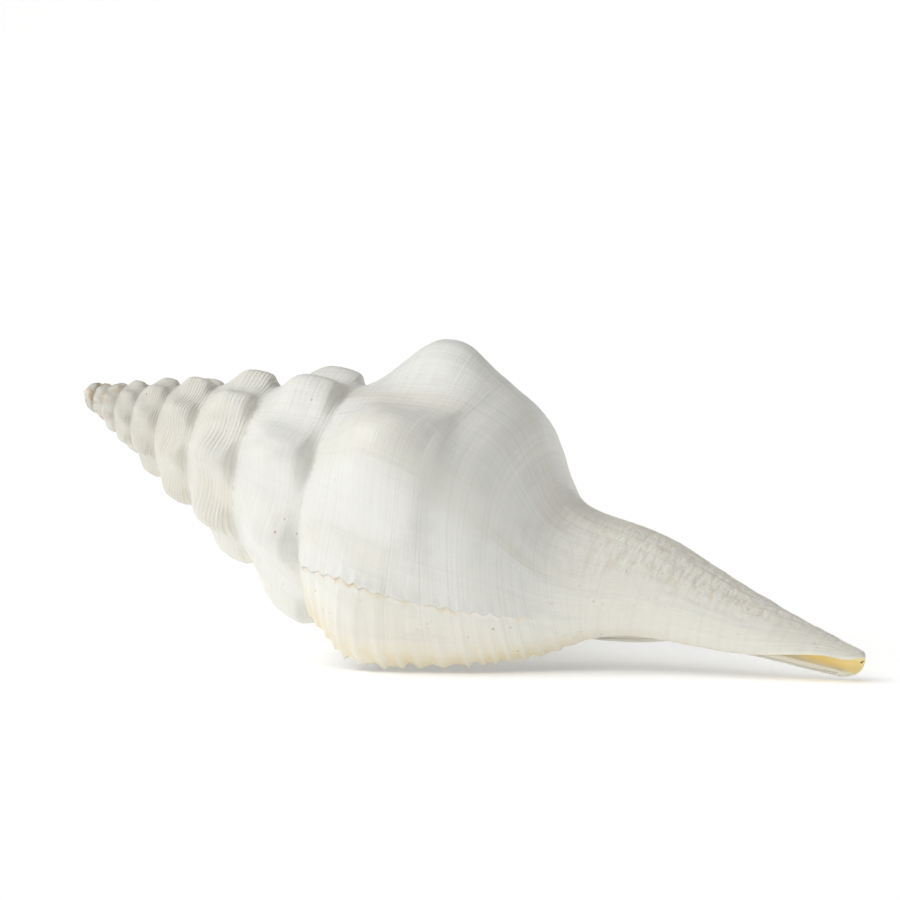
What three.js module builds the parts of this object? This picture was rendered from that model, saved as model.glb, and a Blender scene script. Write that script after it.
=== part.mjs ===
// Large horse-conch type sea shell: one grown piece, a right-handed coil with knobbed
// shoulders, a long open siphonal canal and a hollow that winds up into the spire.
// Millimetres, +Z up. The shell lies on its aperture, canal toward +X, outer lip toward -Y.
import * as THREE from "three";

// ---- the coil: heights run along the coiling axis, from the spire's tip to the canal's end
const GROWTH = 1.375; // each whorl is this many times the size of the one before
const SUTURE_HEIGHT = 125; // height of the last suture above the cone's point
const CONE_POINT = -7; // where the cone of the sutures would come to a point
const SUTURE_RADIUS = 42.8; // radius of the suture where it meets the outer lip
const LIP_AZIMUTH = 144.5; // direction of the outer lip round the axis, degrees
const FIRST_TURN = -8.5; // turns from the lip back to the first whorl
const APEX_HEIGHT = -1;
const BODY_STAGE = [-1, -0.62]; // growth stages over which the last whorl's own base takes over
const LIP_STAGE = [-0.3, 0]; // and over which it takes the lip's outline
const CANAL_STAGE = [-1.25, -1]; // and over which the canal opens out of the covered axis

// ---- one whorl from suture to suture: height and radius as multiples of the suture's own
const WHORL = [[1, 1], [1.05, 1.075], [1.12, 1.168], [1.215, 1.25], [1.3, 1.332], [1.375, 1.375]];
// the lip draws in: radius of the last part of the whorl against the same points
const LIP_DRAW = [1, 1.06, 1.03, 1.015, 0.935, 0.86];
// base of a whorl once the next has grown over it, in the same multiples
const COVERED_BASE = [[1.46, 1.343], [1.54, 1.168], [1.62, 0.841], [1.74, 0.537]];
const COVERED_AXIS = [1.95, 0.45]; // and on down the axis
const COVERED_AXIS_STEP = 0.2;
// base of the last whorl, height and radius in mm: behind the lip, and at the lip
const BODY_BASE = [[154, 52.3], [168, 48.5], [180, 36], [192, 26.5]];
const LIP_BASE = [[174, 47], [185, 41.5], [196.5, 33.5], [206, 27]];
const CANAL = [[216, 20.5], [240, 15], [266, 10], [288, 7], [300, 5.6]];
const CANAL_SHIFT = 8.2; // the canal runs this far off the axis
const SHIFT_HEIGHTS = [185, 232];
const SPOON_HEIGHTS = [255, 300]; // the canal's end opens like a spoon between these heights

// ---- knobs on the shoulder
const KNOB_TURN = -0.401; // the tallest knob, in turns back from the lip
const KNOBS_PER_WHORL = 8.4;
const KNOB_SPREAD = 1.9; // knobs stand wider apart on the last whorl
const KNOB_SHARPNESS = 1.3;
const KNOB_HEIGHT = 9; // times the whorl's size
const LAST_KNOB_HEIGHT = 9; // further height on the last whorl
const LIP_KNOB_LOSS = 13; // and lost again close to the lip
const KNOB_ROW = 3; // profile point the knobs stand on
const KNOB_REACH = [1.25, 2.5]; // how many profile points they spread, up and down the whorl
// on the spire the knobs are taller, stand nearer the suture and share a low swelling
const SPIRE_KNOB_HEIGHT = 10.7;
const SPIRE_KNOB_ROW = 2.6;
const SPIRE_SWELL = 1;
const APEX_SWELL = 0.28; // the first whorls are wider by this share

// ---- wall, hollow and slit
const WALL = 3.2;
const HOLLOW_FIRST_TURN = -3.5; // the hollow ends this far up the spire, solid beyond
const CHANNEL_RADIUS = [[184, 16], [204, 13], [216, 9.5], [240, 6.5], [266, 5], [288, 3.4], [300, 2.7]];
const CHANNEL_WALL = 2.5; // wall beside the slit of the canal
const LIP_TWIST = 28; // growth lines sweep round by this much toward the canal, degrees
const SLIT_GAP = 34; // opening of the canal's slit, degrees
const FAR_GAP = 58; // the same for the slit's far edge, which stands further round
const SPOON_GAP = 130; // its opening at the very end
const TIP_ROUND = 7; // the spoon's corners stand back this far
const SPOON_TURN = -34; // the open end looks this much further toward the lip's side
const LIP_BEVEL = 0.005; // length of the lip's blunt edge, in turns

// ---- how it lies
const AXIS_TILT = 17.7; // canal end down, degrees
const UP_AZIMUTH = 6.3; // azimuth of the shell's side that faces up, degrees

// ---- facets
const COLUMNS = 34; // round each whorl
const UPPER_ROWS = [0, 0.8, 1.7, 2.5, 3.3, 4.2, 5];
const LOWER_ROWS = [5.75, 6.5, 7.3, 8.1, 9, 9.3, 9.6, 10, 10.6, 11.3, 12, 13, 13.85, 14];
const NECK = 9.6; // the hollow narrows to its neck here
const FLOOR = [9.25, 9.08]; // profile points above which the older whorls and the last are hollow
const FLOOR_STAGE = [-1.25, -1.1];
const CHANNEL_STAGE = [-0.74, -0.5]; // growth stages over which the floor meets the channel's back
const CREASE = 1.7; // the hollow's sharp upper edge reaches down to this point
const INNER_SUTURE_STEP = 0.6; // the wall stands this many profile points past the suture, inside

const SUTURE = WHORL.length - 1;
const BASE_END = SUTURE + COVERED_BASE.length;
const ROWS = [...UPPER_ROWS, ...LOWER_ROWS];
const SUTURE_ROW = UPPER_ROWS.length - 1;
const NECK_ROW = ROWS.indexOf(NECK);
const TIP_ROW = ROWS.length - 1;
const BASE_START = WHORL.length;
const CANAL_START = WHORL.length + COVERED_BASE.length;
const TIP = CANAL_START + CANAL.length - 1;
const DEG = Math.PI / 180;

const mix = (a, b, s) => a + (b - a) * s;
const smooth = (a, b, x) => THREE.MathUtils.smoothstep(x, a, b);
const size = (turn) => GROWTH ** turn;

// value at x of a line through [x, y] pairs
function along(pairs, x) {
  const last = pairs.length - 1;
  if (x <= pairs[0][0]) return pairs[0][1];
  if (x >= pairs[last][0]) return pairs[last][1];
  const i = pairs.findIndex((pair) => pair[0] > x) - 1;
  const [x0, y0] = pairs[i];
  const [x1, y1] = pairs[i + 1];
  return mix(y0, y1, (x - x0) / (x1 - x0));
}

// control points [height, radius] of the whole outline at one growth stage
function outline(turn) {
  const k = size(turn);
  const body = smooth(...BODY_STAGE, turn);
  const lip = smooth(...LIP_STAGE, turn);
  const swell = 1 + APEX_SWELL * (1 - smooth(FIRST_TURN, FIRST_TURN + 1.5, turn));
  const point = (h, r) => [h * SUTURE_HEIGHT * k + CONE_POINT, r * SUTURE_RADIUS * k * swell];
  const upper = WHORL.map(([h, r], i) => point(h, r * mix(1, LIP_DRAW[i], lip)));
  const base = COVERED_BASE.map(([h, r], i) => {
    const covered = point(h, r);
    return covered.map((value, axis) => mix(value, mix(BODY_BASE[i][axis], LIP_BASE[i][axis], lip), body));
  });
  const open = smooth(...CANAL_STAGE, turn);
  const canal = CANAL.map((opened, i) => {
    const covered = point(COVERED_AXIS_STEP * i + COVERED_AXIS[0], COVERED_AXIS[1]);
    return covered.map((value, axis) => mix(value, opened[axis], open));
  });
  return [...upper, ...base, ...canal];
}

// smooth curve through control points, row counted in points
function curve(points, row) {
  const last = points.length - 1;
  const i = Math.min(Math.floor(row), last - 1);
  const s = row - i;
  const reflect = (a, b) => a.map((value, axis) => 2 * value - b[axis]);
  const p1 = points[i];
  const p2 = points[i + 1];
  const p0 = i > 0 ? points[i - 1] : reflect(p1, p2);
  const p3 = i + 1 < last ? points[i + 2] : reflect(p2, p1);
  return p1.map((_, a) => 0.5 * (2 * p1[a] + (p2[a] - p0[a]) * s
    + (2 * p0[a] - 5 * p1[a] + 4 * p2[a] - p3[a]) * s ** 2
    + (3 * p1[a] - p0[a] - 3 * p2[a] + p3[a]) * s ** 3));
}

// how far the shoulder stands out of the plain outline
function knob(turn, row) {
  const late = Math.max(turn + 1, 0);
  const phase = KNOBS_PER_WHORL * (turn - KNOB_TURN) - KNOB_SPREAD * (late ** 2 - (KNOB_TURN + 1) ** 2);
  const spire = 1 - smooth(-1.3, -0.95, turn);
  const grown = mix(KNOB_HEIGHT, SPIRE_KNOB_HEIGHT, spire) * smooth(-10, -5, turn);
  const last = LAST_KNOB_HEIGHT * smooth(-0.9, -0.45, turn) - LIP_KNOB_LOSS * smooth(-0.24, -0.04, turn);
  const round = (0.5 + 0.5 * Math.cos(2 * Math.PI * phase)) ** KNOB_SHARPNESS;
  const middle = mix(KNOB_ROW, SPIRE_KNOB_ROW, spire);
  const reach = row < middle ? KNOB_REACH[0] : KNOB_REACH[1];
  const fall = Math.exp(-(((row - middle) / reach) ** 2)) * smooth(0, 0.9, row);
  const covered = smooth(SUTURE - 0.8, SUTURE, row) * (1 - smooth(-1, -0.8, turn));
  return ((grown + last) * round + SPIRE_SWELL * spire) * size(turn) * fall * (1 - covered);
}

const spoonAt = (height) => smooth(...SPOON_HEIGHTS, height);
const slitMiddle = (height) => LIP_AZIMUTH + LIP_TWIST + SPOON_TURN * spoonAt(height);

// point round the canal's centre line, the direction in degrees
function around(radius, direction, height) {
  const centre = CANAL_SHIFT * smooth(...SHIFT_HEIGHTS, height);
  const angle = direction * DEG;
  return new THREE.Vector3(centre + radius * Math.cos(angle), radius * Math.sin(angle), height);
}

// point of the outer surface; the azimuth runs 0 toward +x, 90 toward +y of the shell's own frame
function outside(turn, row) {
  const [height, radius] = curve(outline(turn), row);
  const sweep = LIP_TWIST * smooth(BASE_START + 1, CANAL_START + 1, row);
  const spoon = spoonAt(height);
  const share = THREE.MathUtils.clamp(-turn - 0.5, -0.5, 0.5);
  const slit = share > 0 ? FAR_GAP : SLIT_GAP;
  const gap = mix(slit, SPOON_GAP, spoon) * smooth(CANAL_START - 2, CANAL_START + 1, row);
  const azimuth = 360 * turn + LIP_AZIMUTH + sweep + gap * share + SPOON_TURN * spoon;
  const corner = TIP_ROUND * (2 * share) ** 4 * smooth(TIP - 1.5, TIP, row);
  return around(radius + knob(turn, row), azimuth, height - corner);
}

// point of the outer wall's inner face
function inside(turn, row) {
  const step = 1e-3;
  const here = outside(turn, row);
  const growth = outside(turn + step, row).sub(outside(turn - step, row));
  const down = outside(turn, row + step).sub(outside(turn, row - step));
  const outward = growth.cross(down).normalize();
  return here.addScaledVector(outward, -WALL * Math.min(size(turn), 1) ** 0.5);
}

// inner suture: where the outer wall stands on the whorl before
const sutureStep = (turn) => INNER_SUTURE_STEP * smooth(0, 0.05, -turn);
const innerSuture = (turn) => outside(turn - 1, SUTURE + sutureStep(turn));

// point of the channel inside the canal, facing a point of the outside
function channel(turn, row) {
  const outer = outside(turn, row);
  const canalRadius = curve(outline(-0.5), row)[1];
  const radius = along(CHANNEL_RADIUS, outer.z);
  const shift = Math.max(0, canalRadius - radius - CHANNEL_WALL);
  const middle = around(shift, slitMiddle(outer.z), outer.z);
  const ray = outer.clone().sub(middle);
  const reach = Math.min(radius, ray.length() - CHANNEL_WALL);
  return middle.addScaledVector(ray.normalize(), reach);
}

// floor of the hollow, behind the canal's channel and up the older whorls
function neck(turn) {
  const floor = inside(turn, mix(...FLOOR, smooth(...FLOOR_STAGE, turn)));
  return floor.lerp(channel(-0.5, NECK), smooth(...CHANNEL_STAGE, turn));
}

// the last points before the neck lead straight to it
function toNeck(last, ring, row) {
  return row > BASE_END ? last.lerp(ring, (row - BASE_END) / (NECK - BASE_END)) : last;
}

function outerWall(turn, row) {
  if (row < CREASE) return innerSuture(turn).lerp(inside(turn, CREASE), row / CREASE);
  if (row > NECK) return channel(turn, row);
  const ring = turn < -0.5 ? neck(turn) : channel(turn, NECK);
  return toNeck(inside(turn, Math.min(row, BASE_END)), ring, row);
}

function innerWall(turn, row) {
  if (row > NECK) return channel(-1 - turn, row);
  const ring = turn < -0.5 ? neck(turn) : channel(-1 - turn, NECK);
  const start = SUTURE + sutureStep(turn);
  const share = (Math.min(row, BASE_END) - SUTURE) / (BASE_END - SUTURE);
  return toNeck(outside(turn - 1, mix(start, BASE_END, share)), ring, row);
}

// ---- the closed surface
const half = COLUMNS / 2;
const firstColumn = FIRST_TURN * COLUMNS;
const hollowColumn = HOLLOW_FIRST_TURN * COLUMNS;
const vertices = [];
const faces = [];
const known = new Map();

function vertex(key, place) {
  if (!known.has(key)) {
    known.set(key, vertices.length);
    vertices.push(place());
  }
  return known.get(key);
}

// growth stage of a column; the columns crowd in beside both edges of the slit
function turnOf(column) {
  const whorl = Math.floor(column / COLUMNS);
  const j = column - whorl * COLUMNS;
  if (j === 0) return whorl;
  return whorl + mix(LIP_BEVEL, 1 - LIP_BEVEL, (j - 1) / (COLUMNS - 2));
}

function outer(column, i) {
  if (i === SUTURE_ROW && column <= -COLUMNS) return outer(column + COLUMNS, 0);
  return vertex(`outer ${column} ${i}`, () => outside(turnOf(column), ROWS[i]));
}

function suture(column) {
  return column === 0 ? outer(0, 0) : vertex(`suture ${column}`, () => innerSuture(turnOf(column)));
}

function neckRing(column, i, sheet, place) {
  const shared = column < -half || (column === -half && i >= NECK_ROW);
  return vertex(shared ? `neck ${column} ${i}` : `${sheet} ${column} ${i}`, place);
}

function wallVertex(column, i) {
  if (i === 0) return suture(column);
  if (column === 0) return outer(0, i);
  if (i === TIP_ROW) return outer(column, i);
  const place = () => outerWall(turnOf(column), ROWS[i]);
  return i >= NECK_ROW ? neckRing(column, i, "wall", place) : vertex(`wall ${column} ${i}`, place);
}

function coreVertex(column, i) {
  if (i === SUTURE_ROW) return suture(column);
  if (column === 0) return outer(-COLUMNS, i);
  if (i === TIP_ROW) return outer(-COLUMNS - column, i);
  const place = () => innerWall(turnOf(column), ROWS[i]);
  return i >= NECK_ROW ? neckRing(column, i, "core", place) : vertex(`core ${column} ${i}`, place);
}

// quads of a sheet between two columns
function sheet(id, firstCol, lastCol, firstRow, lastRow, flip) {
  for (let column = firstCol; column < lastCol; column += 1) {
    for (let i = firstRow; i < lastRow; i += 1) {
      const a = id(column, i);
      const b = id(column + 1, i);
      const c = id(column + 1, i + 1);
      const d = id(column, i + 1);
      faces.push(flip ? [a, c, b] : [a, b, c], flip ? [a, d, c] : [a, c, d]);
    }
  }
}

sheet(outer, firstColumn, -COLUMNS, 0, SUTURE_ROW, false);
sheet(outer, -COLUMNS, 0, 0, TIP_ROW, false);
sheet(wallVertex, hollowColumn, -half, 0, NECK_ROW, true);
sheet(wallVertex, -half, 0, 0, TIP_ROW, true);
sheet(coreVertex, hollowColumn, -half, SUTURE_ROW, NECK_ROW, false);
sheet(coreVertex, -half, 0, SUTURE_ROW, TIP_ROW, false);

// rounded start of the spire
const apex = vertex("apex", () => new THREE.Vector3(0, 0, APEX_HEIGHT));
for (let column = firstColumn; column < firstColumn + COLUMNS; column += 1) {
  faces.push([apex, outer(column + 1, 0), outer(column, 0)]);
}
for (let i = 0; i < SUTURE_ROW; i += 1) faces.push([apex, outer(firstColumn, i), outer(firstColumn, i + 1)]);

// blind end of the hollow: a strip between its two walls, which meet at both ends
const wallSide = ROWS.slice(0, NECK_ROW + 1).map((_, i) => wallVertex(hollowColumn, i));
const coreSide = ROWS.slice(SUTURE_ROW, NECK_ROW + 1).map((_, i) => coreVertex(hollowColumn, i + SUTURE_ROW));
const nextHeight = (side) => (side.length > 1 ? vertices[side[1]].z : Infinity);
while (wallSide.length > 1 || coreSide.length > 1) {
  const side = nextHeight(wallSide) <= nextHeight(coreSide) ? wallSide : coreSide;
  const triangle = [wallSide[0], coreSide[0], side[1]];
  side.shift();
  if (new Set(triangle).size === 3) faces.push(triangle);
}

// ---- lay the shell down: canal toward +X and down, outer lip toward -Y
const axis = new THREE.Vector3(Math.cos(AXIS_TILT * DEG), 0, -Math.sin(AXIS_TILT * DEG));
const up = new THREE.Vector3(Math.sin(AXIS_TILT * DEG), 0, Math.cos(AXIS_TILT * DEG));
const side = new THREE.Vector3(0, -1, 0);
const rest = new THREE.Matrix4().makeBasis(up, side, axis)
  .multiply(new THREE.Matrix4().makeRotationZ(-UP_AZIMUTH * DEG));

const geometry = new THREE.BufferGeometry().setFromPoints(vertices);
geometry.setIndex(faces.flat());
geometry.computeVertexNormals();
const chalk = new THREE.MeshStandardMaterial({ color: "#ece9e2", roughness: 0.55, metalness: 0 });
const shell = new THREE.Mesh(geometry, chalk);
shell.name = "shell";
shell.setRotationFromMatrix(rest);

const part = new THREE.Group();
part.add(shell);
const box = new THREE.Box3().setFromObject(part, true);
shell.position.set(-(box.min.x + box.max.x) / 2, -(box.min.y + box.max.y) / 2, -box.min.z);

export default part;
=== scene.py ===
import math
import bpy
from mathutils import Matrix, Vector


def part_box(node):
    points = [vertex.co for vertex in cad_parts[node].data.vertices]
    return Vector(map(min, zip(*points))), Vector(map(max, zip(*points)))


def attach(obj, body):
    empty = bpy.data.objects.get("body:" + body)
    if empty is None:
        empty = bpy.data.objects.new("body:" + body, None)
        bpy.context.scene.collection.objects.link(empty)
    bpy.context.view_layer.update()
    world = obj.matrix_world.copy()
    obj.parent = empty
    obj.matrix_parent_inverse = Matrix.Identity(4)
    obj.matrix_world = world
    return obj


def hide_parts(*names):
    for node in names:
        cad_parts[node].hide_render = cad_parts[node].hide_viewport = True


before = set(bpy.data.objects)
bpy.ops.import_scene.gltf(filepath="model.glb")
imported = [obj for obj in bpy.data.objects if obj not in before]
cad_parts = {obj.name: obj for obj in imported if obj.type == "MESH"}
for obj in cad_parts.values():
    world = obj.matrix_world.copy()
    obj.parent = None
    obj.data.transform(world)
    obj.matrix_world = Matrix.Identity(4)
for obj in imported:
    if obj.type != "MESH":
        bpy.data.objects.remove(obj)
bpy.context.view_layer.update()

# A large bleached conch shell lying on its aperture: one grown piece, meshed fine, with its finish.
from types import SimpleNamespace

import bpy
import numpy as np
from mathutils import Matrix, Vector

MM = 0.001

# ---- the coil, as in the CAD part: mm, heights along the coiling axis from the spire's tip
GROWTH = 1.375  # each whorl is this many times the size of the one before
SUTURE_HEIGHT = 125.0
SUTURE_RADIUS = 42.8
CONE_POINT = -7.0
LIP_AZIMUTH = 144.5
FIRST_TURN = -8.5  # turns back from the lip
APEX_HEIGHT = -1.0
# growth stages over which the last whorl's base, the lip's outline and the open canal take over
BODY_STAGE, LIP_STAGE, CANAL_STAGE = (-1, -0.62), (-0.3, 0), (-1.25, -1)
# heights and radii in multiples of the suture's own
WHORL = np.array([(1, 1), (1.05, 1.075), (1.12, 1.168), (1.215, 1.25), (1.3, 1.332), (1.375, 1.375)])
LIP_DRAW = np.array([1, 1.06, 1.03, 1.015, 0.935, 0.86])
COVERED_BASE = np.array([(1.46, 1.343), (1.54, 1.168), (1.62, 0.841), (1.74, 0.537)])
COVERED_AXIS = np.array([(1.95 + 0.2 * i, 0.45) for i in range(5)])
# heights and radii in mm
BODY_BASE = np.array([(154, 52.3), (168, 48.5), (180, 36), (192, 26.5)])
LIP_BASE = np.array([(174, 47), (185, 41.5), (196.5, 33.5), (206, 27)])
CANAL = np.array([(216, 20.5), (240, 15), (266, 10), (288, 7), (300, 5.6)])
CANAL_SHIFT = 8.2
SHIFT_HEIGHTS = (185, 232)
KNOB_TURN = -0.401
KNOBS_PER_WHORL = 8.4
KNOB_SPREAD = 1.9
KNOB_SHARPNESS = 1.3
KNOB_HEIGHT, LAST_KNOB_HEIGHT, LIP_KNOB_LOSS = 9.0, 9.0, 13.0
KNOB_ROW = 3
KNOB_REACH = (1.25, 2.5)  # profile points they spread, up and down the whorl
SPIRE_KNOB_HEIGHT, SPIRE_KNOB_ROW, SPIRE_SWELL, APEX_SWELL = 10.7, 2.6, 1.0, 0.28
WALL = 3.2
LIP_WALL = 1.9  # the wall thins to this at the lip
CHANNEL_HEIGHTS, CHANNEL_RADII = np.array(
    [(184, 16), (204, 13), (216, 9.5), (240, 6.5), (266, 5), (288, 3.4), (300, 2.7)]).T
CHANNEL_WALL = 2.5
LIP_TWIST = 28.0
SLIT_GAP, FAR_GAP, SPOON_GAP, SPOON_TURN = 34.0, 58.0, 130.0, -34.0
TIP_ROUND = 7.0
SPOON_HEIGHTS = (255.0, 300.0)
FLOOR_ROWS = (9.25, 9.08)  # the hollow's floor on the older whorls and on the last
FLOOR_STAGE, CHANNEL_STAGE = (-1.25, -1.1), (-0.74, -0.5)
INNER_SUTURE_STEP = 0.6
AXIS_TILT = 17.7
UP_AZIMUTH = 6.3

# ---- small relief and the lengths that marks are measured by, mm
FINE_RIDGE, FINE_RIDGES = 0.08, 26  # height, and how many to a whorl
BROAD_RIDGE, BROAD_RIDGES = 0.15, 12.5
FRILL_CREST, FRILL_STEP = 0.5, 0.35
RIB_HEIGHT = 0.95
WRINKLE_HEIGHT = 0.22
TOOTHED_LIP = (100, 116)  # the teeth end over this stretch of the lip
SHOULDER_RADIUS = 50.0
ROW_SPACING = 9.5  # between profile points, about what it is on the last whorl

# ---- profile points that divide the outline
CREASE = 1.7
SUTURE = 5
BASE_END = 9
NECK = 9.6
TIP = 14

# ---- the fine mesh
HOLLOW_FIRST_TURN = -1.3  # further in, nothing shows
EDGE_STEPS = np.array([0, 0.0004, 0.0012, 0.0024, 0.004, 0.006, 0.009])  # turns from a free edge
NEAR_STEP, NEAR_END, FAR_STEP = 0.0027, 0.108, 0.0078
UPPER_ROWS, LOWER_ROWS, CANAL_ROWS = 54, 78, 52
TIP_STEPS = np.array([1.3, 0.8, 0.45, 0.18, 0])  # mm from the canal's tip
SPIRE_SHARES = [1, 2, 2, 3, 3, 6]  # older whorls keep one in so many of the last whorl's rows
HOLLOW_FINE, HOLLOW_SHARE = 0.03, 4
EDGE_ROUND = 1.1  # mm over which a free edge is rounded


def smooth(a, b, x):
    s = np.clip((x - a) / (b - a), 0, 1)
    return s * s * (3 - 2 * s)


def mix(a, b, s):
    return a + (b - a) * s


# ---- shape of the shell
def outline(turn):
    """Control points (height, radius) of the outline from suture to canal tip, at each growth stage."""
    turn = turn[..., None]
    k = GROWTH ** turn
    lip = smooth(*LIP_STAGE, turn)
    swell = 1 + APEX_SWELL * (1 - smooth(FIRST_TURN, FIRST_TURN + 1.5, turn))

    def grown(points, draw=1.0):
        return np.stack([points[:, 0] * SUTURE_HEIGHT * k + CONE_POINT,
                         points[:, 1] * SUTURE_RADIUS * k * draw * swell], -1)

    upper = grown(WHORL, mix(1, LIP_DRAW, lip))
    last_base = mix(BODY_BASE, LIP_BASE, lip[..., None])
    base = mix(grown(COVERED_BASE), last_base, smooth(*BODY_STAGE, turn)[..., None])
    canal = mix(grown(COVERED_AXIS), CANAL, smooth(*CANAL_STAGE, turn)[..., None])
    return np.concatenate([upper, base, canal], -2)


def curve(points, row):
    """Smooth curve through control points; row counts the points."""
    last = points.shape[-2] - 1
    i = np.clip(np.floor(row).astype(int), 0, last - 1)
    s = (row - i)[..., None]

    def at(index):
        return np.take_along_axis(points, np.clip(index, 0, last)[..., None, None], -2)[..., 0, :]

    p1, p2 = at(i), at(i + 1)
    p0 = np.where((i == 0)[..., None], 2 * p1 - p2, at(i - 1))
    p3 = np.where((i == last - 1)[..., None], 2 * p2 - p1, at(i + 2))
    return 0.5 * (2 * p1 + (p2 - p0) * s + (2 * p0 - 5 * p1 + 4 * p2 - p3) * s ** 2
                  + (3 * p1 - p0 - 3 * p2 + p3) * s ** 3)


def knob(turn, row):
    """How far a shoulder knob stands out, mm."""
    late = np.maximum(turn + 1, 0)
    phase = KNOBS_PER_WHORL * (turn - KNOB_TURN) - KNOB_SPREAD * (late ** 2 - (KNOB_TURN + 1) ** 2)
    spire = 1 - smooth(-1.3, -0.95, turn)
    height = (mix(KNOB_HEIGHT, SPIRE_KNOB_HEIGHT, spire) * smooth(-10, -5, turn)
              + LAST_KNOB_HEIGHT * smooth(-0.9, -0.45, turn) - LIP_KNOB_LOSS * smooth(-0.24, -0.04, turn))
    bell = (0.5 + 0.5 * np.cos(2 * np.pi * phase)) ** KNOB_SHARPNESS
    middle = mix(KNOB_ROW, SPIRE_KNOB_ROW, spire)
    reach = np.where(row < middle, *KNOB_REACH)
    fall = np.exp(-((row - middle) / reach) ** 2) * smooth(0, 0.9, row)
    covered = smooth(4.2, 5, row) * (1 - smooth(-1, -0.8, turn))
    return (height * bell + SPIRE_SWELL * spire) * GROWTH ** turn * fall * (1 - covered)


def polar(radius, azimuth, height):
    """Points round the canal's centre line."""
    a = np.radians(azimuth)
    centre = CANAL_SHIFT * smooth(*SHIFT_HEIGHTS, height)
    return np.stack([centre + radius * np.cos(a), radius * np.sin(a), height], -1)


def outside(turn, row):
    """Points of the outer surface in the shell's own frame, mm."""
    turn, row = np.broadcast_arrays(np.asarray(turn, float), np.asarray(row, float))
    height, radius = np.moveaxis(curve(outline(turn), row), -1, 0)
    sweep = LIP_TWIST * smooth(BASE_END - 2, BASE_END + 2, row)
    spoon = smooth(*SPOON_HEIGHTS, height)
    share = np.clip(-turn - 0.5, -0.5, 0.5)
    slit = np.where(share > 0, FAR_GAP, SLIT_GAP)
    gap = mix(slit, SPOON_GAP, spoon) * smooth(BASE_END - 1, BASE_END + 2, row)
    azimuth = 360 * turn + LIP_AZIMUTH + sweep + gap * share + SPOON_TURN * spoon
    corner = TIP_ROUND * (2 * share) ** 4 * smooth(TIP - 1.5, TIP, row)
    return polar(radius + knob(turn, row), azimuth, height - corner)


def outward(turn, row):
    """Unit normals of the outer surface."""
    step = 1e-3
    growth = outside(turn + step, row) - outside(turn - step, row)
    down = outside(turn, row + step) - outside(turn, row - step)
    normal = np.cross(growth, down)
    return normal / np.linalg.norm(normal, axis=-1, keepdims=True)


def inside(turn, row):
    """The outer wall's inner face."""
    wall = WALL * np.minimum(GROWTH ** turn, 1) ** 0.5
    wall = mix(wall, LIP_WALL, smooth(-0.06, 0, turn))
    return outside(turn, row) - outward(turn, row) * wall[..., None]


def inner_suture_row(turn):
    return SUTURE + INNER_SUTURE_STEP * smooth(0, 0.05, -turn)


def inner_suture(turn):
    """Where the outer wall stands on the whorl before, inside."""
    return outside(turn - 1, inner_suture_row(turn))


def channel(turn, row):
    """The canal's channel, point for point with the outside."""
    outer = outside(turn, row)
    height = outer[..., 2]
    canal_radius = curve(outline(np.full(height.shape, -0.5)), np.broadcast_to(row, height.shape))[..., 1]
    radius = np.interp(height, CHANNEL_HEIGHTS, CHANNEL_RADII)
    shift = np.maximum(0, canal_radius - radius - CHANNEL_WALL)
    slit = LIP_AZIMUTH + LIP_TWIST + SPOON_TURN * smooth(*SPOON_HEIGHTS, height)
    middle = polar(shift, slit, height)
    ray = outer - middle
    length = np.linalg.norm(ray, axis=-1)
    reach = np.minimum(radius, length - CHANNEL_WALL)
    return middle + ray * (reach / length)[..., None]


def neck(turn):
    """The hollow's floor, behind the canal's channel and up the whorls."""
    floor = inside(turn, mix(*FLOOR_ROWS, smooth(*FLOOR_STAGE, turn)))
    back = channel(np.full(turn.shape, -0.5), np.full(turn.shape, NECK))
    return mix(floor, back, smooth(*CHANNEL_STAGE, turn)[..., None])


def to_neck(last, ring, row):
    """From the last free row of a wall to the ring round the neck."""
    return mix(last, ring, np.clip((row - BASE_END) / (NECK - BASE_END), 0, 1)[..., None])


def outer_wall(turn, row):
    """Inner face of the outer wall, from the inner suture to the canal's tip."""
    turn, row = np.broadcast_arrays(turn, row)
    crease = np.full(turn.shape, CREASE)
    upper = mix(inner_suture(turn), inside(turn, crease), np.clip(row / CREASE, 0, 1)[..., None])
    ring = np.where((turn < -0.5)[..., None], neck(turn), channel(turn, np.full(turn.shape, NECK)))
    lower = to_neck(inside(turn, np.minimum(row, BASE_END)), ring, row)
    body = np.where((row < CREASE)[..., None], upper, lower)
    return np.where((row > NECK)[..., None], channel(turn, np.maximum(row, NECK)), body)


def core_wall(turn, row):
    """The hollow's other side: the whorl before, the columella and the far wall of the channel."""
    turn, row = np.broadcast_arrays(turn, row)
    mirrored = -1 - turn
    start = inner_suture_row(turn)
    share = (np.minimum(row, BASE_END) - SUTURE) / (BASE_END - SUTURE)
    ring = np.where((turn < -0.5)[..., None], neck(turn), channel(mirrored, np.full(turn.shape, NECK)))
    body = to_neck(outside(turn - 1, mix(start, BASE_END, share)), ring, row)
    return np.where((row > NECK)[..., None], channel(mirrored, np.maximum(row, NECK)), body)


# ---- the lip and other free edges
def lip_lengths(rows):
    """Distance along the lip from the suture to each row, mm."""
    even = np.linspace(0, TIP, 600)
    points = outside(np.zeros(600), even)
    steps = np.linalg.norm(np.diff(points, axis=0), axis=1)
    return np.interp(rows, even, np.concatenate([[0], np.cumsum(steps)]))


def toothed_part(length):
    """1 along the toothed part of the lip, 0 where the lip becomes the canal."""
    return 1 - smooth(*TOOTHED_LIP, length)


def growth_arc(turn):
    """How far the shoulder has grown, mm."""
    return 2 * np.pi * SHOULDER_RADIUS * GROWTH ** turn / math.log(GROWTH)


def growth_speed(turn, row):
    """How far a growth line moves in a turn, mm."""
    step = 1e-3
    return np.linalg.norm(outside(turn + step, row) - outside(turn - step, row), axis=-1) / (2 * step)


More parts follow.
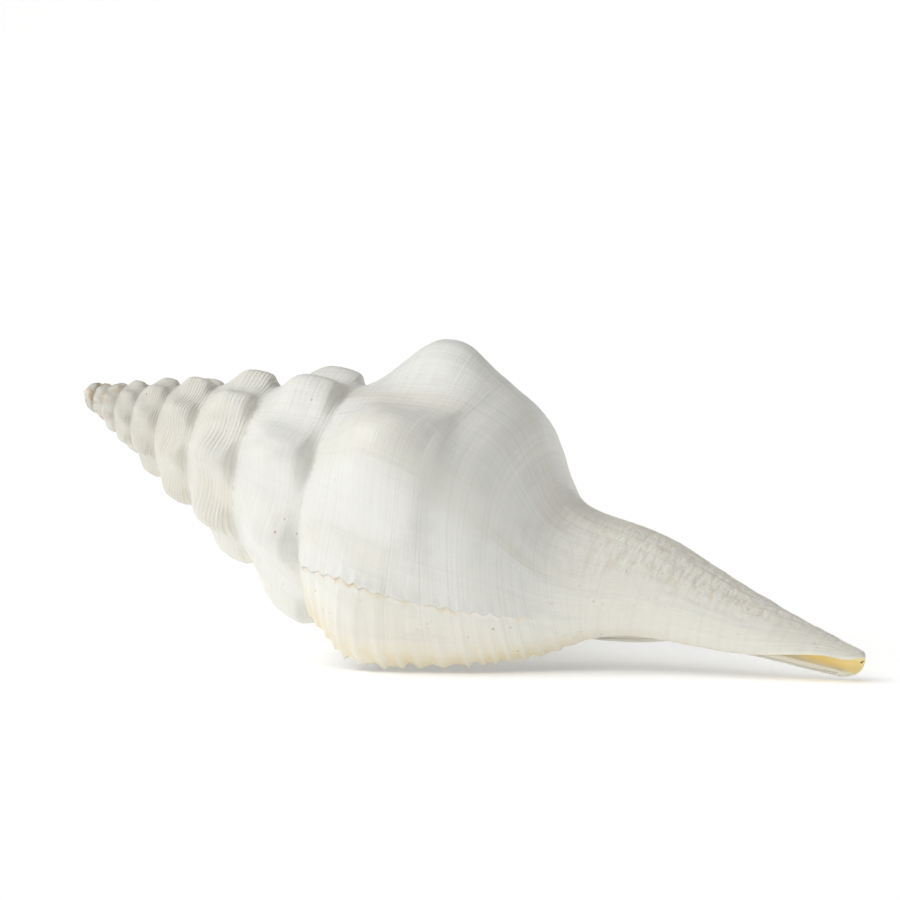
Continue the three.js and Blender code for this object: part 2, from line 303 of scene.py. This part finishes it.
def tooth_shape(length):
    """1 at the lip's small points and 0 between them, by distance along the lip, mm."""
    count = length / 7.2 + 2.2 * (1 - np.exp(-length / 16)) + 1.6 * smooth(70, 100, length)
    count = count + 0.14 * np.sin(length / 4.1)
    return 1 - np.abs(np.sin(np.pi * count)) ** 0.6


def teeth(length):
    """Notches between the points, mm; 0 at the points."""
    size = mix(1.0, 3.6, smooth(8, 34, length)) * (1 - 0.6 * smooth(66, 88, length))
    uneven = 0.8 + 0.2 * np.sin(length * 0.61 + 1.0) + 0.14 * np.sin(length * 1.7)
    ends = smooth(0.5, 4, length) * toothed_part(length)
    return size * uneven * (tooth_shape(length) - 1) * ends


def toothed(turn, row):
    """Growth stages drawn back so that the lip's line follows its teeth."""
    notch = teeth(lip_lengths(row)) / growth_speed(np.full(row.shape, -0.01), row)
    return turn + notch * smooth(-0.03, 0, turn)


def rounding(distance):
    """1 at a free edge, falling to 0 where its rounded part ends."""
    s = np.clip(1 - distance / EDGE_ROUND, 0, 1)
    return 1 - np.sqrt(1 - s * s)


def edge_amounts(turn, row):
    """Rounding at the lip and canal tip, and at the far edge of the slit, on the last whorl."""
    speed = growth_speed(turn, row)
    tip = np.linalg.norm(outside(turn, np.full(turn.shape, TIP)) - outside(turn, row), axis=-1)
    at_lip = rounding(np.minimum(-turn * speed, np.where(row > NECK, tip, np.inf)))
    at_far = rounding((1 + turn) * speed) * smooth(BASE_END, NECK, row)
    return np.maximum(at_lip, 0), np.maximum(at_far, 0)


def old_lip_distance(turn, row):
    """Distance from the older lip line, a fine frill behind the lip, mm; below 0 toward the lip."""
    length = lip_lengths(row)
    stage = -mix(0.072, 0.094, smooth(0, 32, length)) - 0.006 * smooth(70, 100, length)
    scallops = 0.28 * teeth(length * 1.15 + 3)
    scallops += 0.55 * np.sin(length * 1.15 + 1.5 * np.sin(length / 6))
    return (stage - turn) * growth_speed(turn, row) - scallops


def frill_strength(row):
    """The older lip line fades away down the base."""
    return 1 - smooth(BASE_END - 1.6, BASE_END + 0.2, row)


def growth_ridges(turn, row):
    warp = 1.1 * np.sin(row * 1.1) + 0.7 * np.sin(row * 2.3 + 1.0)
    fine = FINE_RIDGE * np.sin(2 * np.pi * FINE_RIDGES * turn + warp * 2)
    broad = BROAD_RIDGE * np.sin(2 * np.pi * BROAD_RIDGES * turn + warp)
    return fine + broad * np.sin(2 * np.pi * 2.7 * turn + 1)


def frill(turn, row):
    """The older lip's crest and the low step behind it."""
    old_lip = old_lip_distance(turn, row)
    crest = FRILL_CREST * np.exp(-(old_lip / 0.9) ** 2)
    step = FRILL_STEP * smooth(-0.3, 0.3, old_lip) * np.exp(-old_lip / 9)
    return (crest + step) * frill_strength(row) * (turn > -0.5)


def lip_ribs(turn, row):
    """Folds that run back from the lip's teeth."""
    length = lip_lengths(row)
    return RIB_HEIGHT * ((tooth_shape(length) - 0.3) * smooth(-0.13, -0.01, turn) * toothed_part(length))


def canal_wrinkles(turn, row):
    arc = growth_arc(turn)
    wrinkles = np.sin(arc / 2.6 + 7 * row + 1.5 * np.sin(row * 5)) * np.sin(row * 11 + arc / 9)
    return WRINKLE_HEIGHT * wrinkles * smooth(NECK, NECK + 1.2, row) * smooth(-0.08, -0.25, turn)


def relief(turn, row):
    """Low ridges and swellings of the outer surface, mm."""
    covered_edge = smooth(SUTURE - 0.5, SUTURE, row) * (1 - smooth(-1, -0.96, turn))
    off_suture = smooth(0, 0.5, row) * (1 - covered_edge)
    height = growth_ridges(turn, row) + frill(turn, row) + lip_ribs(turn, row) + canal_wrinkles(turn, row)
    return np.minimum(GROWTH ** turn, 1) * height * off_suture


# ---- the four kinds of surface, each from growth stage and row
def outer_face(turn, row):
    """Outer surface, its free edges rounded to the middle of the wall."""
    grown = toothed(turn, row)
    at_lip, at_far = edge_amounts(turn, row)
    last_whorl = turn >= -1
    at_lip, at_far = at_lip * last_whorl, at_far * last_whorl
    lift = relief(turn, row) * (1 - np.maximum(at_lip, at_far))
    face = outside(grown, row) + outward(grown, row) * lift[..., None]
    face = mix(face, outer_wall(grown, row), 0.5 * at_lip[..., None])
    return mix(face, core_wall(-1 - turn, row), 0.5 * at_far[..., None])


def wall_face(turn, row):
    """Inner face of the outer wall."""
    grown = toothed(turn, row)
    at_lip, _ = edge_amounts(turn, row)
    return mix(outer_wall(grown, row), outside(grown, row), 0.5 * at_lip[..., None])


def core_face(turn, row):
    """The hollow's side toward the axis and the far wall of the channel."""
    at_lip, at_far = edge_amounts(-1 - turn, row)
    amount = np.maximum(at_far, at_lip * (row > NECK))
    return mix(core_wall(turn, row), outside(-1 - turn, row), 0.5 * amount[..., None])


def suture_line(turn, row):
    return inner_suture(turn)


SHEETS = {
    "outer": outer_face,
    "wall": wall_face,
    "neck": wall_face,
    "core": core_face,
    "suture": suture_line,
}


# ---- meshing
def column_offsets():
    """Columns of one whorl, 0 to 1, crowded beside both free edges."""
    near = np.arange(EDGE_STEPS[-1] + NEAR_STEP, NEAR_END, NEAR_STEP)
    far = np.linspace(NEAR_END, 0.5, round((0.5 - NEAR_END) / FAR_STEP) + 1)
    half = np.concatenate([EDGE_STEPS, near, far])
    return np.concatenate([half, 1 - half[-2:0:-1]])


def row_places():
    """Rows evenly spaced along the lip to the neck, then down the canal, and two of their numbers."""
    even = np.linspace(0, TIP, 2000)
    length = lip_lengths(even)
    at_suture, at_neck = np.interp([SUTURE, NECK], even, length)
    upper = np.linspace(0, at_suture, UPPER_ROWS + 1)
    lower = np.linspace(at_suture, at_neck, LOWER_ROWS + 1)
    canal = np.linspace(at_neck, length[-1] - TIP_STEPS[0], CANAL_ROWS + 1)
    places = np.concatenate([upper, lower[1:], canal[1:], length[-1] - TIP_STEPS[1:]])
    rows = np.interp(places, length, even)
    suture_row, neck_row = UPPER_ROWS, UPPER_ROWS + LOWER_ROWS
    rows[[suture_row, neck_row, -1]] = SUTURE, NECK, TIP
    return rows, suture_row, neck_row


class Skin:
    """One closed surface: vertices known by sheet, column and row, faces laid between columns."""

    def __init__(self):
        self.offsets = column_offsets()
        self.rows, self.suture_row, self.neck_row = row_places()
        self.columns = len(self.offsets)
        self.half = self.columns // 2
        self.tip_row = len(self.rows) - 1
        self.known, self.faces, self.corners = {}, [], []

    def turn_of(self, column):
        whorl, place = divmod(column, self.columns)
        return whorl + self.offsets[place]

    def vertex(self, sheet, column, i):
        return self.known.setdefault((sheet, column, i), len(self.known))

    def outer(self, column, i):
        if i == self.suture_row and column <= -self.columns:
            return self.outer(column + self.columns, 0)
        return self.vertex("outer", column, i)

    def suture(self, column):
        return self.outer(0, 0) if column == 0 else self.vertex("suture", column, 0)

    def deep(self, sheet, column, i):
        """Both walls share the neck's ring behind the channel, and the seam at the channel's back."""
        shared = i >= self.neck_row and column <= -self.half
        return self.vertex("neck" if shared else sheet, column, i)

    def wall(self, column, i):
        if i == 0:
            return self.suture(column)
        if column == 0 or i == self.tip_row:
            return self.outer(column, i)
        return self.deep("wall", column, i)

    def core(self, column, i):
        if i == self.suture_row:
            return self.suture(column)
        if column == 0 or i == self.tip_row:
            return self.outer(-self.columns - column, i)
        return self.deep("core", column, i)

    def picked(self, first, last, share):
        """Every share-th row, with the rows that other columns join."""
        wanted = set(range(first, last + 1, share)) | {first, last}
        wanted |= {r for r in (self.suture_row, self.neck_row, self.tip_row) if first <= r <= last}
        return sorted(wanted)

    def strip(self, left, right, flip=False):
        """Faces between two columns of (row, vertex, growth stage, kind) with rows of their own."""
        i = j = 0
        while i < len(left) - 1 or j < len(right) - 1:
            next_left = left[i + 1][0] if i < len(left) - 1 else math.inf
            next_right = right[j + 1][0] if j < len(right) - 1 else math.inf
            face = [left[i], right[j]]
            if next_right <= next_left:
                j += 1
                face.append(right[j])
            if next_left <= next_right:
                i += 1
                face.append(left[i])
            self.face(face[::-1] if flip else face)

    def face(self, corners):
        kept = {c[1]: c for c in corners}
        if len(kept) > 2:
            self.faces.append(list(kept))
            self.corners.extend((c[2], c[0], c[3]) for c in kept.values())

    def column(self, name, column, first, last, share):
        """One column of a sheet, top to bottom."""
        place = getattr(self, name)
        turn = self.turn_of(column) - (1 if name == "core" else 0)
        kind = 0 if name == "outer" else 1
        return [(self.rows[i], place(column, i), turn, kind) for i in self.picked(first, last, share)]

    def sheet(self, name, first_column, last_column, first, last, share_at, flip=False):
        numbers = range(first_column, last_column + 1)
        columns = [self.column(name, q, first, last, share_at(q)) for q in numbers]
        for left, right in zip(columns, columns[1:]):
            self.strip(left, right, flip)

    def build(self):
        """Outer surface, both sides of the hollow, the apex and the hollow's blind end."""
        c, half = self.columns, self.half
        first = round(FIRST_TURN * c)
        blind = round(HOLLOW_FIRST_TURN * c)

        def spire_share(column):
            return SPIRE_SHARES[min(-column // c, len(SPIRE_SHARES)) - 1] if column < -c else 1

        def hollow_share(column):
            return 1 if self.turn_of(column) > -HOLLOW_FINE else HOLLOW_SHARE

        self.sheet("outer", first, -c, 0, self.suture_row, spire_share)
        self.sheet("outer", -c, 0, 0, self.tip_row, lambda column: 1)
        self.sheet("wall", blind, -half, 0, self.neck_row, hollow_share, flip=True)
        self.sheet("wall", -half, 0, 0, self.tip_row, hollow_share, flip=True)
        self.sheet("core", blind, -half, self.suture_row, self.neck_row, hollow_share)
        self.sheet("core", -half, 0, self.suture_row, self.tip_row, hollow_share)

        apex = (0, self.vertex("apex", 0, 0), FIRST_TURN, 0)
        ring = [(0, self.outer(q, 0), self.turn_of(q), 0) for q in range(first + c, first - 1, -1)]
        ring += self.column("outer", first, 0, self.suture_row, SPIRE_SHARES[-1])[1:]
        for a, b in zip(ring, ring[1:]):
            self.face([apex, a, b])

        wall_end = self.column("wall", blind, 0, self.neck_row, HOLLOW_SHARE)
        core_end = self.column("core", blind, self.suture_row, self.neck_row, HOLLOW_SHARE)
        for side in (wall_end, core_end):
            top = side[0][0]
            side[:] = [((row - top) / (NECK - top), *rest) for row, *rest in side]
        self.strip(wall_end, core_end)

    def points(self):
        """Places of all vertices, mm in the shell's own frame."""
        keys = list(self.known)
        places = np.zeros((len(keys), 3))
        for sheet, surface in SHEETS.items():
            ids = np.array([n for n, key in enumerate(keys) if key[0] == sheet])
            turn = np.array([self.turn_of(keys[n][1]) for n in ids])
            row = self.rows[[keys[n][2] for n in ids]]
            places[ids] = surface(turn, row)
        places[self.known[("apex", 0, 0)]] = 0, 0, APEX_HEIGHT
        return places


# ---- how it lies: canal toward +X and down, outer lip toward -Y, where the CAD part lies
def lying(points):
    """From the shell's own frame, mm, to the row frame, m."""
    tilt, turn = math.radians(AXIS_TILT), math.radians(-UP_AZIMUTH)
    up, side = (math.sin(tilt), 0, math.cos(tilt)), (0, -1, 0)
    along = (math.cos(tilt), 0, -math.sin(tilt))
    basis = np.array([up, side, along]).T
    spin = np.array([(math.cos(turn), -math.sin(turn), 0), (math.sin(turn), math.cos(turn), 0), (0, 0, 1)])
    return points @ (basis @ spin).T * MM


def settling(points):
    """Moves lying points to the middle of the CAD part's box and down to its lowest point."""
    low, high = (np.array(corner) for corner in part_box("shell"))
    shift = (low + high) / 2 - (points.min(0) + points.max(0)) / 2
    shift[2] = low[2] - points[:, 2].min()
    return shift


def shell_mesh(skin, own, points):
    mesh = bpy.data.meshes.new("shell_skin")
    mesh.from_pydata(points.tolist(), [], skin.faces)
    mesh.validate()
    mesh.polygons.foreach_set("use_smooth", [True] * len(mesh.polygons))
    turn, row, inner = np.array(skin.corners).T
    owner = np.fromiter((v for face in skin.faces for v in face), int)
    write_marks(mesh, turn, row, inner, own[owner])
    return mesh


def write_marks(mesh, turn, row, inner, places):
    """Face corner marks that the finish is drawn from."""
    last = (turn > -1) & (inner < 0.5)
    old_lip = old_lip_distance(np.clip(turn, -0.999, 0), row)
    marks = {
        "growth": growth_arc(turn),
        "spiral": row * ROW_SPACING,
        "age": -turn,
        "inner": inner,
        "lip_zone": np.where(last, 1 - smooth(-3.5, 0.5, old_lip), 0) * (1 - smooth(8.8, 10.2, row)),
        "frill": np.where(last, old_lip, 30),
        "frill_strength": np.where(last, frill_strength(row), 0),
        "ribs": np.where(last, tooth_shape(lip_lengths(row)), 0) * smooth(-0.14, -0.02, turn),
        "lip": np.where(last, smooth(-0.06, 0, turn), 0) * (1 - smooth(9.3, 10.5, row)),
        "back": np.where(last, smooth(-0.18, -0.3, turn), 0),
        "suture": 1 - smooth(0.08, 0.45, row),
        "canal": smooth(BASE_END - 0.8, NECK + 0.6, row) * (turn > -1.001),
        "tip": smooth(255, 285, places[:, 2]),
        "deep": 1 - np.abs(2 * np.clip(-turn % 1, 0, 1) - 1) ** 3,
    }
    for name, values in marks.items():
        layer = mesh.attributes.new(name, "FLOAT", "CORNER")
        layer.data.foreach_set("value", values.astype(np.float32))


# ---- finish
class Paint:
    """A material's nodes, written as sums."""

    def __init__(self, name):
        self.material = bpy.data.materials.new(name)
        self.material.use_nodes = True
        self.tree = self.material.node_tree
        self.surface = self.tree.nodes["Principled BSDF"]

    def put(self, value, socket):
        if isinstance(value, bpy.types.NodeSocket):
            self.tree.links.new(value, socket)
        else:
            socket.default_value = value

    def node(self, kind, **settings):
        made = self.tree.nodes.new("ShaderNode" + kind)
        for name, value in settings.items():
            setattr(made, name, value)
        return made

    def mark(self, name):
        return self.node("Attribute", attribute_name=name).outputs["Fac"]

    def math(self, operation, a, b=0.0):
        made = self.node("Math", operation=operation)
        self.put(a, made.inputs[0])
        self.put(b, made.inputs[1])
        return made.outputs[0]

    def times(self, a, b):
        return self.math("MULTIPLY", a, b)

    def plus(self, a, b):
        return self.math("ADD", a, b)

    def step(self, low, high, value, to_low=0.0, to_high=1.0):
        made = self.node("MapRange", interpolation_type="SMOOTHSTEP")
        self.put(value, made.inputs["Value"])
        ends = {"From Min": low, "From Max": high, "To Min": to_low, "To Max": to_high}
        for name, number in ends.items():
            made.inputs[name].default_value = number
        return made.outputs[0]

    def grown(self, along_growth, along_spiral):
        """Coordinates on the shell, in spacings of that many mm."""
        made = self.node("CombineXYZ")
        self.put(self.times(self.mark("growth"), 1 / along_growth), made.inputs[0])
        self.put(self.times(self.mark("spiral"), 1 / along_spiral), made.inputs[1])
        self.put(self.mark("inner"), made.inputs[2])
        return made.outputs[0]

    def solid(self, spacing):
        """Coordinates in space, in spacings of that many mm."""
        made = self.node("VectorMath", operation="SCALE")
        self.put(self.node("TexCoord").outputs["Object"], made.inputs[0])
        made.inputs["Scale"].default_value = 1 / (spacing * MM)
        return made.outputs[0]

    def noise(self, vector, detail=3.0, roughness=0.5):
        made = self.node("TexNoise")
        self.put(vector, made.inputs["Vector"])
        self.put(1.0, made.inputs["Scale"])
        self.put(detail, made.inputs["Detail"])
        self.put(roughness, made.inputs["Roughness"])
        return made.outputs["Fac"]

    def cells(self, vector):
        made = self.node("TexVoronoi")
        self.put(vector, made.inputs["Vector"])
        self.put(1.0, made.inputs["Scale"])
        return made.outputs["Distance"]

    def blend(self, amount, a, b):
        made = self.node("Mix", data_type="RGBA")
        self.put(amount, made.inputs[0])
        self.put(a, made.inputs[6])
        self.put(b, made.inputs[7])
        return made.outputs[2]


THREAD_SPACING = 2.9  # mm, of the spiral threads on the last whorl
CHALK = (0.82, 0.82, 0.775, 1)
CREAM = (0.82, 0.775, 0.63, 1)
GREY = (0.63, 0.625, 0.585, 1)
BEIGE = (0.62, 0.55, 0.42, 1)
OCHRE = (0.66, 0.46, 0.22, 1)
SAND = (0.78, 0.65, 0.42, 1)
RUST = (0.46, 0.22, 0.08, 1)
GOLD = (0.92, 0.74, 0.32, 1)
NACRE = (0.86, 0.82, 0.72, 1)


def shell_patterns(p):
    """Noises and marks that both the colour and the relief are drawn from."""
    return SimpleNamespace(
        growth_lines=p.noise(p.grown(2.2, 70), 4, 0.6),
        bands=p.noise(p.grown(16, 60), 3),
        thin_threads=p.noise(p.grown(120, 0.75), 2, 0.5),
        blotch=p.noise(p.solid(24), 4),
        patches=p.noise(p.solid(8), 3),
        grain=p.noise(p.solid(0.9), 3, 0.6),
        pebbles=p.noise(p.grown(16, 1.0), 3, 0.55),
        pits=p.cells(p.solid(3.1)),
        small_pits=p.cells(p.solid(1.6)),
        age=p.mark("age"),
        canal=p.mark("canal"),
        lip_zone=p.mark("lip_zone"),
        outer=p.math("SUBTRACT", 1.0, p.mark("inner")),
    )


def thread_grooves(p, shared):
    """Spiral threads, self-similar from whorl to whorl, strongest on the middle of the spire."""
    phase = p.plus(p.times(p.mark("spiral"), 2 * math.pi / THREAD_SPACING), p.times(shared.bands, 2.5))
    wave = p.plus(p.times(p.math("SINE", phase), 0.5), 0.5)
    strength = p.times(p.step(0.9, 2.2, shared.age, 0.10, 1.0), p.step(0.36, 0.6, shared.blotch, 0.25, 1.0))
    return p.times(p.step(0.75, 0.05, wave), p.times(strength, shared.outer))


def chalky_colour(p, shared, groove):
    """Bleached chalk with grey and cream bands, threads and growth lines."""
    colour = p.blend(p.step(0.42, 0.75, shared.bands, 0, 0.4), CHALK, CREAM)
    colour = p.blend(p.step(0.5, 0.75, shared.growth_lines, 0, 0.22), colour, GREY)
    colour = p.blend(p.step(0.48, 0.68, shared.thin_threads, 0, 0.18), colour, GREY)
    colour = p.blend(p.step(0.5, 0.7, p.noise(p.solid(15), 4, 0.6), 0, 0.22), colour, GREY)
    colour = p.blend(p.times(groove, 0.30), colour, BEIGE)
    return p.blend(p.step(0.8, 3.0, shared.age, 0, 0.28), colour, CREAM)


# Patchy beige along the suture's crease.
def suture_beige(p, colour):
    tint = p.times(p.mark("suture"), p.step(0.44, 0.66, p.noise(p.grown(3.2, 20), 3)))
    return p.blend(p.times(tint, 0.5), colour, BEIGE)


def lip_stains(p, shared, colour):
    """The zone below the frill is creamier toward the lip's edge and between the ribs."""
    lip = p.mark("lip")
    toward_lip = p.times(shared.lip_zone, p.plus(p.times(lip, 0.75), 0.2))
    colour = p.blend(p.times(toward_lip, p.step(0.35, 0.62, shared.blotch, 0.5, 1.0)), colour, CREAM)
    between = p.step(0.6, 0.1, p.mark("ribs"))
    edge = p.times(lip, p.plus(p.times(between, 0.4), 0.22))
    colour = p.blend(p.times(edge, p.step(0.3, 0.6, shared.patches, 0.4, 1.0)), colour, SAND)
    pitted = p.times(p.step(0.28, 0.14, shared.small_pits), p.step(0.6, 0.7, shared.patches))
    colour = p.blend(p.times(p.times(shared.lip_zone, pitted), 0.4), colour, OCHRE)
    stained = p.step(0.42, 0.62, p.noise(p.solid(6), 4, 0.6), 0.0, 0.6)
    crest = p.times(p.step(1.8, 0.2, p.math("ABSOLUTE", p.plus(p.mark("frill"), 0.5))), stained)
    return p.blend(p.times(crest, p.mark("frill_strength")), colour, SAND)


def valley_painted_shade(p, shared, colour):
    """Painted shade: fine dark lines that darken the valley between the two last tall knobs, where the
    shoulder turns away from the light.
    """
    shaded_valley = p.times(p.step(0.22, 0.30, shared.age), p.step(0.40, 0.33, shared.age))
    lines = p.times(shared.outer, p.step(0.5, 0.66, p.noise(p.grown(1.1, 60), 3)))
    return p.blend(p.times(p.times(shaded_valley, lines), 0.28), colour, BEIGE)


def canal_colour(p, shared, colour):
    """The canal is a little creamier, with darker hollows on its back."""
    hollows = p.times(p.times(shared.canal, p.mark("back")), p.step(0.52, 0.34, shared.pebbles))
    stained = p.step(0.4, 0.6, shared.patches, 0.15, 0.6)
    colour = p.blend(p.times(hollows, stained), colour, BEIGE)
    return p.blend(p.times(shared.canal, 0.3), colour, CREAM)


def rusty_spots(p, shared, colour):
    """Stains at the apex and rare small spots anywhere."""
    apex = p.times(p.step(5.2, 7.6, shared.age), p.step(0.5, 0.64, p.noise(p.solid(3), 3)))
    colour = p.blend(p.times(apex, 0.8), colour, OCHRE)
    spots = p.times(p.step(0.09, 0.03, p.cells(p.solid(7))), p.step(0.5, 0.6, shared.blotch))
    return p.blend(p.times(p.times(spots, shared.outer), 0.7), colour, RUST)


def lining_colour(p, shared):
    """Pale inside, golden toward the canal's end."""
    colour = p.blend(p.step(0.3, 0.7, shared.bands, 0, 0.5), NACRE, CREAM)
    gold = p.times(p.mark("tip"), p.step(0.25, 0.75, p.mark("deep")))
    return p.blend(gold, colour, GOLD)


def surface_height(p, shared, groove):
    """Relief too fine for the mesh, mm."""
    canal_back = p.times(shared.canal, p.mark("back"))
    lines = p.plus(p.times(shared.growth_lines, 0.26), p.times(shared.thin_threads, 0.24))
    height = p.plus(p.times(lines, shared.outer), p.times(shared.grain, 0.05))
    height = p.math("SUBTRACT", height, p.times(groove, 0.22))
    frill_step = p.times(p.step(-0.35, 0.35, p.mark("frill")), p.step(5.0, 0.5, p.mark("frill")))
    height = p.plus(height, p.times(p.times(frill_step, 0.45), p.mark("frill_strength")))
    pitted = p.times(shared.lip_zone, p.step(0.56, 0.7, shared.patches, 0, 0.25))
    height = p.math("SUBTRACT", height, p.times(p.step(0.36, 0.1, shared.small_pits), pitted))
    height = p.plus(height, p.times(shared.pebbles, p.times(canal_back, 0.85)))
    pocked = p.times(shared.canal, p.step(0.5, 0.62, shared.patches, 0, 0.35))
    pocks = p.times(p.step(0.2, 0.06, shared.pits), pocked)
    return p.math("SUBTRACT", height, p.times(pocks, shared.outer))


def shell_finish():
    p = Paint("bleached_shell")
    shared = shell_patterns(p)
    groove = thread_grooves(p, shared)

    colour = suture_beige(p, chalky_colour(p, shared, groove))
    # Colour marks one after another; the dark lines in the valley between the knobs are painted shade.
    for tint in (lip_stains, valley_painted_shade, canal_colour, rusty_spots):
        colour = tint(p, shared, colour)
    colour = p.blend(p.step(0.4, 0.6, p.mark("inner")), colour, lining_colour(p, shared))
    p.put(colour, p.surface.inputs["Base Color"])

    bump = p.node("Bump")
    p.put(surface_height(p, shared, groove), bump.inputs["Height"])
    p.put(MM, bump.inputs["Distance"])
    p.put(1.0, bump.inputs["Strength"])
    p.put(bump.outputs[0], p.surface.inputs["Normal"])

    p.put(p.plus(p.times(shared.grain, 0.2), 0.33), p.surface.inputs["Roughness"])
    p.surface.inputs["Subsurface Weight"].default_value = 0.12
    p.surface.inputs["Subsurface Radius"].default_value = (1.0, 0.75, 0.55)
    p.surface.inputs["Subsurface Scale"].default_value = 0.004
    return p.material


skin = Skin()
skin.build()
own_points = skin.points()
lying_points = lying(own_points)
shift = settling(lying_points)
shell = bpy.data.objects.new("conch_shell", shell_mesh(skin, own_points, lying_points + shift))
bpy.context.scene.collection.objects.link(shell)
shell.data.materials.append(shell_finish())
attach(shell, "root")
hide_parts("shell")


# ---- studio: a pale floor that curves up far away, soft daylight from the upper left
FLAT_RADIUS, FLOOR_RADIUS = 3.0, 7.0  # m
FLAT_RINGS, RISING_RINGS, FLOOR_SPOKES = 7, 32, 96
FLOOR_RISE, RISE_END = 2.6, 8.5  # how high it would rise, and at what distance, m


def studio_floor():
    flat = np.linspace(0, FLAT_RADIUS, FLAT_RINGS + 1)
    rising = np.linspace(FLAT_RADIUS, FLOOR_RADIUS, RISING_RINGS + 1)
    radius = np.concatenate([flat, rising[1:]])
    rise = FLOOR_RISE * smooth(FLAT_RADIUS, RISE_END, radius)
    spokes = range(FLOOR_SPOKES)
    angles = [2 * math.pi * k / FLOOR_SPOKES for k in spokes]
    vertices = [(0, 0, 0)]
    for r, z in zip(radius[1:], rise[1:]):
        vertices += [(r * math.cos(angle), r * math.sin(angle), z) for angle in angles]
    faces = [(0, 1 + k, 1 + (k + 1) % FLOOR_SPOKES) for k in spokes]
    for ring in range(len(radius) - 2):
        near = 1 + ring * FLOOR_SPOKES
        far = near + FLOOR_SPOKES
        for k in spokes:
            n = (k + 1) % FLOOR_SPOKES
            faces.append((near + k, far + k, far + n, near + n))
    mesh = bpy.data.meshes.new("studio_floor")
    mesh.from_pydata(vertices, [], faces)
    mesh.polygons.foreach_set("use_smooth", [True] * len(mesh.polygons))
    paint = Paint("studio_white")
    paint.surface.inputs["Base Color"].default_value = (0.96, 0.96, 0.955, 1)
    paint.surface.inputs["Roughness"].default_value = 0.9
    paint.surface.inputs["Specular IOR Level"].default_value = 0.2
    paint.surface.inputs["Emission Color"].default_value = (1, 1, 1, 1)
    paint.surface.inputs["Emission Strength"].default_value = 0.27
    mesh.materials.append(paint.material)
    return bpy.data.objects.new("studio_floor", mesh)


floor = studio_floor()
bpy.context.scene.collection.objects.link(floor)

world = bpy.data.worlds.new("studio_air")
world.use_nodes = True
bpy.context.scene.world = world


def brighter_side(tree, toward, low, high):
    """A sky that is brightest toward one side."""
    direction = tree.nodes.new("ShaderNodeTexCoord")
    dot = tree.nodes.new("ShaderNodeVectorMath")
    dot.operation = "DOT_PRODUCT"
    dot.inputs[1].default_value = Vector(toward).normalized()
    tree.links.new(direction.outputs["Generated"], dot.inputs[0])
    ramp = tree.nodes.new("ShaderNodeMapRange")
    ends = {"From Min": -0.9, "From Max": 0.9, "To Min": low, "To Max": high}
    for name, number in ends.items():
        ramp.inputs[name].default_value = number
    tree.links.new(dot.outputs["Value"], ramp.inputs["Value"])
    tree.links.new(ramp.outputs[0], tree.nodes["Background"].inputs["Strength"])


brighter_side(world.node_tree, (-0.78, -0.42, 0.5), 0.02, 0.74)


def soft_light(name, toward, strength, spread):
    """Daylight from one side of the sky, as broad as its spread in degrees."""
    light = bpy.data.lights.new(name, "SUN")
    light.energy = strength
    light.angle = math.radians(spread)
    lamp = bpy.data.objects.new(name, light)
    lamp.rotation_mode = "QUATERNION"
    lamp.rotation_quaternion = Vector(toward).to_track_quat("Z", "Y")
    bpy.context.scene.collection.objects.link(lamp)


soft_light("key", (-0.66, -0.45, 0.60), 1.15, 40)
soft_light("overhead", (-0.3, -0.1, 1.0), 1.6, 80)

# ---- camera, 1 m from the shell with a long lens
CAMERA_DISTANCE = 1.0
CAMERA_AZIMUTH, CAMERA_ELEVATION, CAMERA_ROLL = 23.97, 6.57, -0.25
CAMERA_PITCH, CAMERA_YAW = 1.66, -0.043  # aimed a little above the shell
LENS, SENSOR = 116.8, 36
AIM = 150.0  # the camera stands 1 m from this height on the shell's axis


def camera():
    data = bpy.data.cameras.new("camera")
    data.lens, data.sensor_width = LENS, SENSOR
    made = bpy.data.objects.new("camera", data)
    aim = Vector(lying(np.array([[0, 0, AIM]]))[0] + shift)
    azimuth, elevation = math.radians(CAMERA_AZIMUTH), math.radians(CAMERA_ELEVATION)
    back = Vector((math.sin(azimuth) * math.cos(elevation), -math.cos(azimuth) * math.cos(elevation),
                   math.sin(elevation)))
    turn = back.to_track_quat("Z", "Y").to_matrix()
    turn @= Matrix.Rotation(math.radians(CAMERA_ROLL), 3, "Z")
    turn @= Matrix.Rotation(math.radians(CAMERA_PITCH), 3, "X")
    turn @= Matrix.Rotation(math.radians(CAMERA_YAW), 3, "Y")
    made.matrix_world = Matrix.Translation(aim + back * CAMERA_DISTANCE) @ turn.to_4x4()
    data.clip_start, data.clip_end = 0.05, 50
    bpy.context.scene.collection.objects.link(made)
    bpy.context.scene.camera = made


camera()
bpy.context.scene.view_settings.view_transform = "Standard"
